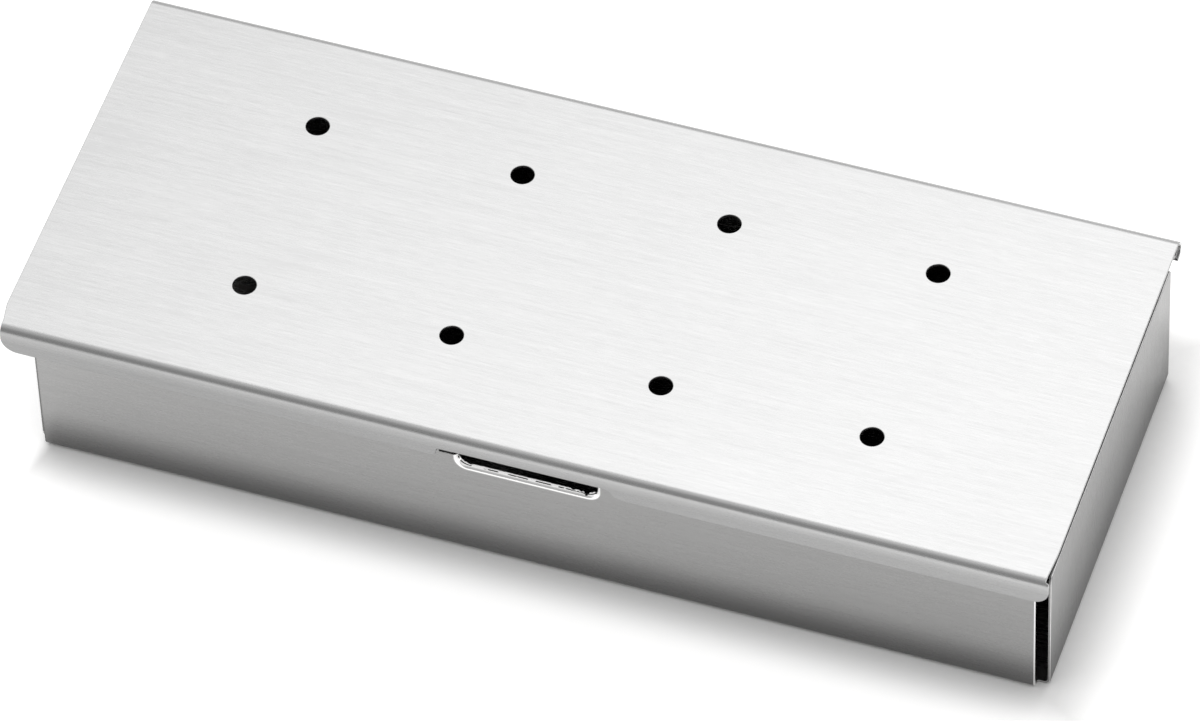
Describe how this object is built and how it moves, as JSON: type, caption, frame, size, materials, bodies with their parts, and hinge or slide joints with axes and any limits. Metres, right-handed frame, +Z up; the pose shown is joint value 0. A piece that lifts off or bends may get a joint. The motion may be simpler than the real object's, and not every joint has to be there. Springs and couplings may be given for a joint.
{
  "type": "smoker box",
  "caption": "Long, low stainless sheet box for wood chips on a grill: a folded open-corner tray with a finger notch, and a vented lid hinged on its rolled rear rim.",
  "frame": {"origin": "on the surface that the box stands on, under the middle of the closed box's bounding box", "axes": "+X to the right along the length, +Y from the finger notch to the hinged rear rim, +Z up"},
  "size_m": [0.33, 0.139, 0.0535],
  "materials": {
    "lid_steel": "stainless sheet, fine brushed grain along the length",
    "tray_steel": "stainless sheet, fine brushed grain along the length",
    "rod_steel": "drawn stainless wire, satin"
  },
  "bodies": {
    "tray": {"tray": "tray_steel", "hinge_rod": "rod_steel"},
    "lid": {"lid": "lid_steel"}
  },
  "joints": [
    {"name": "lid_hinge", "type": "hinge", "parent": "tray", "child": "lid", "pos_m": [0, 0.066, 0.05], "axis": [-1, 0, 0], "range_deg": [0, 98]}
  ]
}
